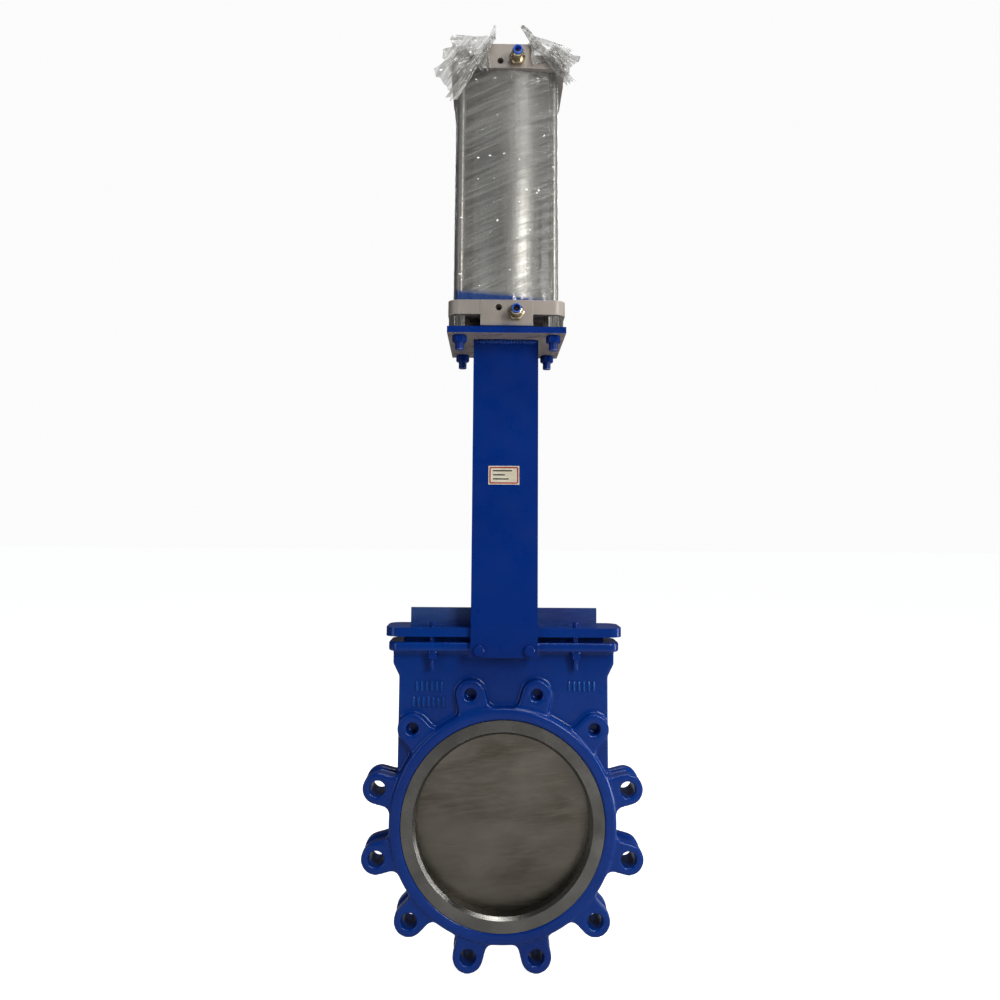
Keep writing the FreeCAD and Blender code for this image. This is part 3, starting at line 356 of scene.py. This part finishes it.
def metal(name, colour, rough, stretch, scale, strength, stain, painted_below=None):
    """Plain metal with a directional finish, stains and lighter worn edges.
    It carries blue overspray below the given height."""
    look = Look(name, Metallic=1.0)
    grain = look.noise(scale, detail=3.0, stretch=stretch)
    broad = look.noise(14.0, detail=5.0)
    dark = tuple(part * stain for part in colour)
    tone = look.blend(look.ramp(broad, 0, 1, start=0.35, end=0.7), colour, dark)
    bright = tuple(min(1.0, part * 1.35) for part in colour)
    tone = look.blend(look.maths("MULTIPLY", look.edges(0.0008), 0.6), tone, bright)
    if painted_below:
        paint = look.ramp(look.axis("Z"), 1.0, 0.0, start=painted_below - 0.001, end=painted_below)
        tone = look.blend(paint, tone, BLUE)
        look.into("Metallic", look.ramp(paint, 1.0, 0.0))
    look.colour(tone)
    look.into("Roughness", look.ramp(grain, rough - 0.07, rough + 0.09, start=0.3, end=0.7))
    look.bump(grain, strength=strength, distance=0.0005)
    return look.material


def moulded(name, colour, rough):
    look = Look(name)
    dark = tuple(part * 0.8 for part in colour)
    look.colour(look.blend(look.ramp(look.noise(30.0), 0, 1, start=0.4, end=0.65), colour, dark))
    gloss = look.ramp(look.noise(90.0), rough - 0.08, rough + 0.1, start=0.3, end=0.7)
    look.into("Roughness", gloss)
    look.bump(look.noise(600.0), strength=0.12, distance=0.0003)
    return look.material


def braided(name):
    look = Look(name, Roughness=0.8)
    wave = look.node("ShaderNodeTexWave", wave_type="BANDS", bands_direction="DIAGONAL")
    wave.inputs["Scale"].default_value = 190.0
    wave.inputs["Distortion"].default_value = 1.2
    look.link(look.place, wave.inputs["Vector"])
    look.colour(look.blend(wave.outputs["Fac"], (0.30, 0.27, 0.20), (0.62, 0.58, 0.47)))
    look.bump(wave.outputs["Fac"], strength=0.8, distance=0.0008)
    return look.material


def cap_metal():
    """Cast aluminium with fine upright machining ribs and blue overspray by the plate."""
    look = Look("cap_cast_aluminium", Metallic=0.25)
    pale, dark, rubbed = (0.245, 0.218, 0.196), (0.19, 0.170, 0.153), (0.62, 0.60, 0.57)
    mist_low, mist_high = 0.9085, 0.9155
    broad = look.noise(11.0, detail=4.0)
    tone = look.blend(look.ramp(broad, 0, 1, start=0.35, end=0.7), pale, dark)
    waver = look.ramp(look.noise(24.0, detail=3.0), -0.008, 0.008)
    mist_height = look.maths("ADD", look.axis("Z"), waver)
    mist = look.ramp(mist_height, 0.75, 0.0, start=mist_low, end=mist_high)
    tone = look.blend(mist, tone, BLUE)
    worn = look.maths("MULTIPLY", look.edges(0.0010), 0.75)
    look.colour(look.blend(worn, tone, rubbed))
    look.into("Roughness", look.ramp(look.noise(60.0, detail=4.0), 0.42, 0.62, start=0.3, end=0.7))
    look.bump(look.noise(460.0, detail=3.0, stretch=(1, 1, 0.08)), strength=0.25, distance=0.0004)
    look.bump(look.noise(700.0, detail=2.0), strength=0.15, distance=0.0003)
    return look.material


def film_look(name, haze, glint, tilt):
    """Clear film: hazy streaks along the wrap, tight creases that glint, painted white glints on
    random facets, and blue mist near the lower cap, higher on the left."""
    look = Look(name, Roughness=0.14, IOR=1.45, Specular_IOR_Level=0.7)
    grey, pale_grey, painted_glint_white = (0.20, 0.20, 0.19), (0.33, 0.33, 0.315), (0.95, 0.95, 0.93)
    blue_mist, mist_low, mist_high = (0.001, 0.032, 0.16), 0.966, 0.976
    turn = (0.0, tilt, 0.0)
    streak = look.noise(46.0, detail=5.0, stretch=(0.16, 0.16, 2.6), turn=turn, distortion=0.4)
    crease = look.noise(130.0, detail=4.0, stretch=(0.25, 0.25, 1.9), turn=turn, distortion=1.0)
    broad = look.noise(7.0, detail=4.0)
    facets = look.noise(75.0, detail=3.0, stretch=(1, 1, 1.6))
    # Painted highlight: white glints on random facets, which are also made opaque.
    painted_glints = look.ramp(facets, 0.0, 1.0, start=0.70, end=0.74)
    lean = look.maths("MULTIPLY", look.axis("X"), 0.11)
    wavy = look.maths("ADD", lean, look.ramp(look.noise(16.0, detail=3.0), -0.006, 0.006))
    mist_height = look.maths("ADD", look.axis("Z"), wavy)
    mist = look.ramp(mist_height, 0.95, 0.0, start=mist_low, end=mist_high)
    pale = look.blend(look.ramp(broad, 0, 1, start=0.3, end=0.7), grey, pale_grey)
    pale = look.blend(painted_glints, pale, painted_glint_white)
    look.colour(look.blend(mist, pale, blue_mist))
    veil = look.ramp(streak, haze * 0.6, haze * 1.4, start=0.36, end=0.66)
    alpha = look.maths("ADD", veil, look.ramp(crease, 0.0, glint, start=0.60, end=0.76))
    alpha = look.maths("MAXIMUM", alpha, painted_glints)
    alpha = look.maths("MAXIMUM", alpha, look.maths("MULTIPLY", mist, 0.95))
    look.into("Alpha", alpha)
    look.into("Roughness", look.ramp(crease, 0.08, 0.26, start=0.3, end=0.7))
    look.bump(crease, strength=0.45, distance=0.0016)
    look.bump(streak, strength=0.35, distance=0.0022)
    return look.material


def label_look():
    look = Look("label_pale_plate", Coat_Weight=0.4, Coat_Roughness=0.15)
    fresh, aged = (0.50, 0.47, 0.38), (0.42, 0.38, 0.28)
    ageing = look.ramp(look.noise(40.0, detail=4.0), 0, 1, start=0.4, end=0.7)
    look.colour(look.blend(ageing, fresh, aged))
    look.into("Roughness", look.ramp(look.noise(200.0), 0.3, 0.45))
    look.bump(look.noise(150.0), strength=0.1, distance=0.0003)
    return look.material


TOP_PLATE_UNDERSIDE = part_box("yoke_top_plate")[0][2]


EVEN = (1, 1, 1)
ALONG_Z = (1, 1, 0.1)
ROUND_Z = (1, 1, 6)
STEEL = (0.33, 0.32, 0.30)
THREADED = dict(rough=0.36, stretch=ROUND_Z, scale=240.0, strength=0.3, stain=0.6)


def make_looks():
    return {
        "cast_blue": blue_enamel("blue_enamel_cast", grain=0.20, peel=0.30, colour=CAST_BLUE),
        # Same enamel as the casting, painted lighter as a painted highlight on the raised marks.
        "lit_mark_blue": blue_enamel("blue_enamel_marks_painted_highlight", grain=0.10, peel=0.20, colour=LIT_MARK_BLUE),
        "plate_blue": blue_enamel("blue_enamel_plate", grain=0.04, peel=0.12),
        "top_plate_blue": blue_enamel("blue_enamel_top_plate", grain=0.04, peel=0.12,
                                      bare_below=TOP_PLATE_UNDERSIDE),
        "seat": turned_steel("seat_turned_steel", (0.155, 0.150, 0.140), rough=0.25),
        "gate": gate_steel(),
        "cap": cap_metal(),
        "barrel": metal("barrel_drawn_aluminium", (0.30, 0.30, 0.285), rough=0.36,
                        stretch=(1, 1, 0.03), scale=300.0, strength=0.2, stain=0.82),
        "zinc": metal("zinc_plate", (0.50, 0.49, 0.46), rough=0.24,
                      stretch=ALONG_Z, scale=300.0, strength=0.06, stain=0.85),
        "steel": metal("bare_turned_steel", STEEL, **THREADED),
        "rod": metal("tie_rod_steel", STEEL, **THREADED, painted_below=TOP_PLATE_UNDERSIDE),
        "dark": metal("blackened_brass", (0.070, 0.058, 0.045), rough=0.45,
                      stretch=EVEN, scale=320.0, strength=0.2, stain=0.6),
        "chrome": metal("hard_chrome", (0.78, 0.78, 0.78), rough=0.12,
                        stretch=(1, 1, 4), scale=500.0, strength=0.05, stain=0.92),
        "nickel": metal("nickel_brass", (0.62, 0.52, 0.36), rough=0.22,
                        stretch=(1, 5, 1), scale=320.0, strength=0.15, stain=0.6),
        "bronze": metal("sintered_bronze", (0.42, 0.27, 0.12), rough=0.45,
                        stretch=EVEN, scale=700.0, strength=0.3, stain=0.7),
        "rubber": moulded("black_nitrile", (0.018, 0.018, 0.018), rough=0.6),
        "ptfe": moulded("filled_ptfe", (0.62, 0.60, 0.55), rough=0.5),
        "ring_blue": moulded("release_ring_blue", (0.035, 0.115, 0.52), rough=0.28),
        "braid": braided("packing_braid"),
        "label": label_look(),
        "label_red": moulded("label_dark_red", (0.30, 0.014, 0.016), rough=0.35),
        "label_ink": moulded("label_black", (0.012, 0.012, 0.014), rough=0.35),
        "film": film_look("film_stretched", haze=0.42, glint=0.35, tilt=0.40),
        "film_bunch": film_look("film_bunched", haze=0.62, glint=0.80, tilt=0.9),
    }


CAD_LOOKS = {
    "cast_blue": "valve_body gland_flange",
    "plate_blue": "yoke_front_plate yoke_rear_plate yoke_bolts "
                  "gland_studs gland_washers gland_nuts mounting_nuts",
    "top_plate_blue": "yoke_top_plate",
    "seat": "inlet_seat_ring outlet_seat_ring",
    "gate": "gate",
    "cap": "lower_cap upper_cap",
    "barrel": "barrel piston",
    "zinc": "tie_rod_nuts_lower tie_rod_nuts_upper",
    "rod": "tie_rods",
    "steel": "clevis clevis_bolts clevis_nuts lock_nut "
             "cushion_collar_lower cushion_collar_upper piston_nut",
    "chrome": "piston_rod",
    "nickel": "air_fitting_lower air_fitting_upper",
    "dark": "cushion_screw_lower cushion_screw_upper",
    "bronze": "rod_bush",
    "rubber": "seat_seal barrel_seal_lower barrel_seal_upper "
              "cushion_seal_lower cushion_seal_upper rod_wiper rod_seal piston_seals",
    "ptfe": "gate_guides piston_wear_band",
    "ring_blue": "release_ring_lower release_ring_upper",
    "braid": "packing_ring_1 packing_ring_2 packing_ring_3",
    "label": "name_plate",
    "film": "stretch_film film_bunch_left film_bunch_right",
}


def dress_cad(looks):
    for look, names in CAD_LOOKS.items():
        for name in names.split():
            data = NODES[name].data
            data.materials.clear()
            data.materials.append(looks[look])


EDGE_SEGMENTS = 3
EDGE_ANGLE = math.radians(35)


def soften_edges(names, width):
    """Small rounded edges on CAD nodes."""
    for name in names.split():
        bevel = NODES[name].modifiers.new("edge", "BEVEL")
        bevel.width = width
        bevel.segments = EDGE_SEGMENTS
        bevel.limit_method = "ANGLE"
        bevel.angle_limit = EDGE_ANGLE
        bevel.use_clamp_overlap = True
        bevel.harden_normals = True


def cast_surface(name, voxel, rounds):
    """Give a casting the rounded edges and fillets that its mould leaves."""
    node = NODES[name]
    skin = node.modifiers.new("cast_skin", "REMESH")
    skin.mode = "VOXEL"
    skin.voxel_size = voxel
    skin.use_smooth_shade = True
    relax = node.modifiers.new("cast_relax", "SMOOTH")
    relax.factor = 0.5
    relax.iterations = rounds


def add_piece(name, verts, faces, look, smooth=True):
    """A mesh that rides on the fixed body."""
    mesh = bpy.data.meshes.new(name)
    mesh.from_pydata(verts, [], faces)
    mesh.materials.append(LOOKS[look])
    mesh.polygons.foreach_set("use_smooth", [smooth] * len(mesh.polygons))
    piece = bpy.data.objects.new(name, mesh)
    SCENE.collection.objects.link(piece)
    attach(piece, "valve")
    return piece


def grid_faces(rows, columns, closed, start=0):
    """Quads between rows of points. Closed rows join their last point to their first."""
    faces = []
    for row in range(rows - 1):
        for column in range(columns if closed else columns - 1):
            following = (column + 1) % columns
            low = start + row * columns
            high = low + columns
            faces.append((low + column, low + following, high + following, high + column))
    return faces


def wave(*place):
    """Smooth random height, about -1 to 1, at a place in a noise field."""
    return noise.noise(Vector(place))


# ---------------------------------------------------------------- plates and bars

CORNER_STEPS = 6
PAD_ROUNDING = 0.32


def rounded_outline(width, height, radius):
    """Corners of a rounded rectangle about 0, 0, anticlockwise."""
    points = []
    for quarter in range(4):
        across = width / 2 - radius if quarter in (0, 3) else radius - width / 2
        up = height / 2 - radius if quarter < 2 else radius - height / 2
        for step in range(CORNER_STEPS + 1):
            angle = math.pi / 2 * (quarter + step / CORNER_STEPS)
            points.append((across + radius * math.cos(angle), up + radius * math.sin(angle)))
    return points


def raised_pads(pads, face_y, proud, edge):
    """Rounded bars that stand on a face towards -Y, each (x, z, width, height), edges eased."""
    verts, faces = [], []
    for x, z, width, height in pads:
        start = len(verts)
        radius = min(width, height) * PAD_ROUNDING
        outlines = [(0.0, 0.0), (0.0, proud - edge), (edge, proud)]
        for inset, rise in outlines:
            outline = rounded_outline(width - 2 * inset, height - 2 * inset, radius - inset / 2)
            verts += [(x + a, face_y - rise, z + b) for a, b in outline]
        count = len(outline)
        faces += grid_faces(len(outlines), count, True, start)
        faces.append(tuple(range(start + 2 * count, start + 3 * count)))
    return verts, faces


def label_border():
    """Thin raised line round the name plate, and plain bars where print would be."""
    low, high = (Vector(corner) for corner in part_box("name_plate"))
    centre = (low + high) / 2
    size = high - low
    margin, line, proud = 0.0018, 0.0024, 0.00025
    inside = margin + line
    outer_radius, inner_radius = 0.0030, 0.0020
    outer = rounded_outline(size.x - 2 * margin, size.z - 2 * margin, outer_radius)
    inner = rounded_outline(size.x - 2 * inside, size.z - 2 * inside, inner_radius)
    verts = []
    for outline, rise in ((outer, 0.0), (outer, proud), (inner, proud), (inner, 0.0)):
        verts += [(centre.x + a, low.y - rise, centre.z + b) for a, b in outline]
    faces = grid_faces(4, len(outer), True)
    add_piece("name_plate_border", verts, faces, "label_red", smooth=False)

    # Widths, left end, first row and row step are shares of the plate's size.
    widths, left, first_row, row_step = (0.62, 0.40, 0.52), 0.36, 0.24, 0.22
    bar_height, bar_proud, bar_edge = 0.0024, 0.0002, 0.00008
    bars = []
    for row, share in enumerate(widths):
        x = centre.x - size.x * (left - share / 2)
        z = centre.z + size.z * (first_row - row_step * row)
        bars.append((x, z, size.x * share, bar_height))
    verts, faces = raised_pads(bars, low.y, bar_proud, bar_edge)
    add_piece("name_plate_bars", verts, faces, "label_ink", smooth=False)


def cast_marks():
    """Plain raised bars in the place of cast-on characters, on the casting's flat chest."""
    chest_y = -0.020
    height, pitch, stroke = 0.019, 0.0092, 0.0048
    proud, edge = 0.0032, 0.0013
    rows = ((-0.166, 6, 0.244), (-0.172, 7, 0.215), (0.118, 6, 0.245))
    pads = []
    for left, count, z in rows:
        pads += [(left + pitch * (index + 0.5), z, stroke, height) for index in range(count)]
    verts, faces = raised_pads(pads, chest_y, proud, edge)
    add_piece("cast_marks", verts, faces, "lit_mark_blue")


# ---------------------------------------------------------------- welds and threads

TIE_ROD_RADIUS, TIE_ROD_PITCH = 0.008, 0.002
STUD_RADIUS, STUD_PITCH = 0.005, 0.0015


def weld_bead(name, start, end, radius):
    """Rippled fillet weld from one point to another along X."""
    rows, around = 150, 12
    ripple_turn, ripple_depth = 0.42, 0.14
    wander_along, wander_across, wander_depth = 60, 9, 0.35
    taper, core = 12, 0.9
    verts = []
    for row in range(rows):
        share = row / (rows - 1)
        x = start.x + (end.x - start.x) * share
        wander = wander_depth * wave(x * wander_along, start.y * wander_across, 2.0)
        ripple = ripple_depth * abs(math.sin(share * rows * ripple_turn)) + wander
        ends = min(1.0, taper * share, taper * (1 - share)) * 0.7 + 0.3
        reach = radius * ends * (core + ripple)
        for step in range(around):
            angle = 2 * math.pi * step / around
            verts.append((x, start.y + reach * math.cos(angle), start.z + reach * math.sin(angle)))
    faces = grid_faces(rows, around, True)
    faces += [tuple(range(around)), tuple(reversed(range(len(verts) - around, len(verts))))]
    add_piece(name, verts, faces, "cast_blue")


def welds():
    """Beads under the top plate, along the outside of each yoke plate."""
    inset, bead_radius = 0.003, 0.0062
    for name, side in (("front", 0), ("rear", 1)):
        low, high = (Vector(corner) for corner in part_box(f"yoke_{name}_plate"))
        y = (low.y, high.y)[side]
        start = Vector((low.x + inset, y, high.z - inset))
        end = Vector((high.x - inset, y, high.z - inset))
        weld_bead(f"top_weld_{name}", start, end, bead_radius)


def thread(places, radius, pitch, low, high):
    """Helical thread surface over a plain rod at each (x, y), from low to high."""
    around, per_turn, least_rows = 40, 8, 4
    depth, sharpness = 0.00035, 1.2
    rows = max(least_rows, round((high - low) / pitch * per_turn))
    verts, faces = [], []
    for x, y in places:
        start = len(verts)
        for row in range(rows + 1):
            z = low + (high - low) * row / rows
            for step in range(around):
                angle = 2 * math.pi * step / around
                phase = (z / pitch - step / around) % 1.0
                reach = radius + depth * (1 - abs(2 * phase - 1) * sharpness)
                verts.append((x + reach * math.cos(angle), y + reach * math.sin(angle), z))
        faces += grid_faces(rows + 1, around, True, start)
    return verts, faces


def threads():
    """Visible thread ends: tie rods below the top plate and above the cap, and gland studs."""
    foot, tip = 0.0015, 0.001  # plain ends below a tie rod's thread and beyond the others
    rods_low, rods_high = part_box("tie_rods")
    nuts_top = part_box("tie_rod_nuts_upper")[1][2]
    mounts_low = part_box("mounting_nuts")[0][2]
    tie = rods_high[0] - TIE_ROD_RADIUS
    ties = [(x, y) for x in (-tie, tie) for y in (-tie, tie)]
    verts, faces = thread(ties, TIE_ROD_RADIUS, TIE_ROD_PITCH, rods_low[2] + foot, mounts_low)
    add_piece("tie_rod_threads_lower", verts, faces, "plate_blue")
    verts, faces = thread(ties, TIE_ROD_RADIUS, TIE_ROD_PITCH, nuts_top, rods_high[2] - tip)
    add_piece("tie_rod_threads_upper", verts, faces, "steel")

    studs_low, studs_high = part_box("gland_studs")
    nuts_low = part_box("gland_nuts")[0][2]
    gland_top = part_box("gland_flange")[1][2]
    across = (studs_low[0] + STUD_RADIUS, studs_high[0] - STUD_RADIUS)
    along = (studs_low[1] + STUD_RADIUS, studs_high[1] - STUD_RADIUS)
    studs = [(x, y) for x in across for y in along]
    ends = (("lower", studs_low[2] + tip, nuts_low), ("upper", gland_top, studs_high[2] - tip))
    for name, low, high in ends:
        verts, faces = thread(studs, STUD_RADIUS, STUD_PITCH, low, high)
        add_piece(f"gland_stud_threads_{name}", verts, faces, "plate_blue")


# ---------------------------------------------------------------- packing film

def taut_outline(circles, count):
    """Evenly spaced points of a band stretched round circles (x, y, radius), from the rear middle,
    and the band's length."""
    circle_steps = 120
    cloud = []
    for x, y, radius in circles:
        for step in range(circle_steps):
            angle = 2 * math.pi * step / circle_steps
            cloud.append((x + radius * math.cos(angle), y + radius * math.sin(angle)))
    ring = [Vector(cloud[index]) for index in geometry.convex_hull_2d(cloud)]
    first = max(range(len(ring)), key=lambda index: ring[index].y - abs(ring[index].x))
    ring = ring[first:] + ring[:first] + [ring[first]]
    lengths = [(b - a).length for a, b in zip(ring, ring[1:])]
    total = sum(lengths)
    points, index, passed = [], 0, 0.0
    for step in range(count):
        target = total * step / (count - 1)
        while index < len(lengths) - 1 and passed + lengths[index] < target:
            passed += lengths[index]
            index += 1
        share = (target - passed) / lengths[index]
        points.append(ring[index].lerp(ring[index + 1], min(1.0, share)))
    return points, total


def film_sleeve():
    """Stretched film round the tie rods and barrel, ridged along its slanted wrap."""
    low, high = (Vector(corner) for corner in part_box("stretch_film"))
    gap = 0.0006
    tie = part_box("tie_rods")[1][0] - TIE_ROD_RADIUS
    circles = [(x, y, TIE_ROD_RADIUS + gap) for x in (-tie, tie) for y in (-tie, tie)]
    circles.append((0.0, 0.0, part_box("barrel")[1][0] + gap))
    columns, rows, slant = 330, 190, 0.42
    foot_band, head_band = 0.075, 0.05
    ridge_height, crush_height = 0.00075, 0.0014
    outline, around = taut_outline(circles, columns)
    verts = []
    for row in range(rows):
        z = low.z + (high.z - low.z) * row / (rows - 1)
        crumple = max(0.0, 1 - (z - low.z) / foot_band) + max(0.0, 1 - (high.z - z) / head_band)
        for column, point in enumerate(outline):
            run = around * column / (columns - 1)
            across = z - slant * run
            ridge = wave(across * 95, run * 7, 1.5) + 0.5 * wave(across * 210, run * 14, 4.0)
            crush = wave(run * 120, z * 60, 8.0)
            push = ridge_height * ridge + crush_height * crumple * crush
            out = point.normalized() * max(-gap, push)
            verts.append((point.x + out.x, point.y + out.y, z))
    film = add_piece("film_wrap", verts, grid_faces(rows, columns, False), "film")
    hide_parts("stretch_film")


# Ribbons of each gathered tail: start and end as x from the valve's middle and z from the upper
# cap's top face, then the widths there.
LEFT_RIBBONS = [
    ((-0.028, 0.011), (-0.108, -0.112), 0.011, 0.024),
    ((-0.034, 0.002), (-0.106, -0.012), 0.026, 0.046),
    ((-0.072, -0.034), (-0.126, -0.078), 0.034, 0.056),
    ((-0.062, -0.012), (-0.118, -0.040), 0.020, 0.050),
    ((-0.031, 0.006), (-0.026, 0.036), 0.012, 0.006),
    ((-0.056, -0.014), (-0.042, -0.056), 0.030, 0.022),
]
RIGHT_RIBBONS = [
    ((0.042, 0.006), (0.112, -0.034), 0.020, 0.054),
    ((0.054, -0.006), (0.118, -0.078), 0.014, 0.020),
    ((0.080, -0.018), (0.122, -0.048), 0.030, 0.046),
    ((0.056, -0.010), (0.024, 0.034), 0.018, 0.006),
    ((0.050, -0.002), (0.062, -0.040), 0.022, 0.030),
]

# A guess: film in a tail for each unit of ribbon, and its cut width beyond the mean.
GATHER = 1.3


def film_bunch(name, ribbons):
    """Gathered tail of the film at a top front corner: creased ribbons over the cap's corner."""
    cap_low, cap_high = (Vector(corner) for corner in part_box("upper_cap"))
    rows, columns = 44, 26
    rise, wave_rise, fold_rise, fine_rise, sway_rise = 0.0075, 0.006, 0.0055, 0.0018, 0.004
    least_rise, start_share, end_gain, flare, tear = 0.0012, 0.55, 0.45, 0.25, 0.10
    verts, faces, area = [], [], 0.0
    for (from_x, from_z), (to_x, to_z), narrow, wide in ribbons:
        start_point = Vector((from_x, 0, from_z))
        run = Vector((to_x, 0, to_z)) - start_point
        sideways = Vector((run.z, 0, -run.x)).normalized()
        seed = RAND.uniform(0, 40)
        twist = RAND.uniform(-1.2, 1.2)
        start = len(verts)
        for row in range(rows):
            share = row / (rows - 1)
            width = narrow + (wide - narrow) * share
            for column in range(columns):
                across = column / (columns - 1) - 0.5
                broad = wave(across * 3.0 + seed, share * 1.6, 0.0)
                fold = wave(across * 11 + seed, share * 1.2, 3.0)
                fine = wave(across * 26 + seed, share * 9, 5.0)
                tatter = 1 + tear * share * wave(across * 5, seed, 6.0)
                spread = across * width * (1 + flare * broad)
                place = start_point + run * (share * tatter) + sideways * spread
                lift = rise + wave_rise * broad + fold_rise * fold + fine_rise * fine
                lift += sway_rise * math.sin(twist + 5 * share)
                place.y = cap_low.y - max(least_rise, lift * (start_share + share * end_gain))
                place.z += cap_high.z
                verts.append(place)
        area += GATHER * run.length * (narrow + wide) / 2
        faces += grid_faces(rows, columns, False, start)
    piece = add_piece(f"film_tail_{name}", verts, faces, "film_bunch")
    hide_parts(f"film_bunch_{name}")


make_camera()
make_stage()
make_world()
LOOKS = make_looks()
dress_cad(LOOKS)
cast_surface("valve_body", voxel=0.0024, rounds=5)
soften_edges("gland_flange", width=0.0016)
soften_edges("yoke_front_plate yoke_rear_plate yoke_top_plate", width=0.0008)
soften_edges("lower_cap upper_cap", width=0.0009)
soften_edges("gland_nuts mounting_nuts tie_rod_nuts_lower tie_rod_nuts_upper yoke_bolts",
             width=0.0005)
soften_edges("inlet_seat_ring outlet_seat_ring name_plate", width=0.0003)
label_border()
cast_marks()
welds()
threads()
film_sleeve()
film_bunch("left", LEFT_RIBBONS)
film_bunch("right", RIGHT_RIBBONS)
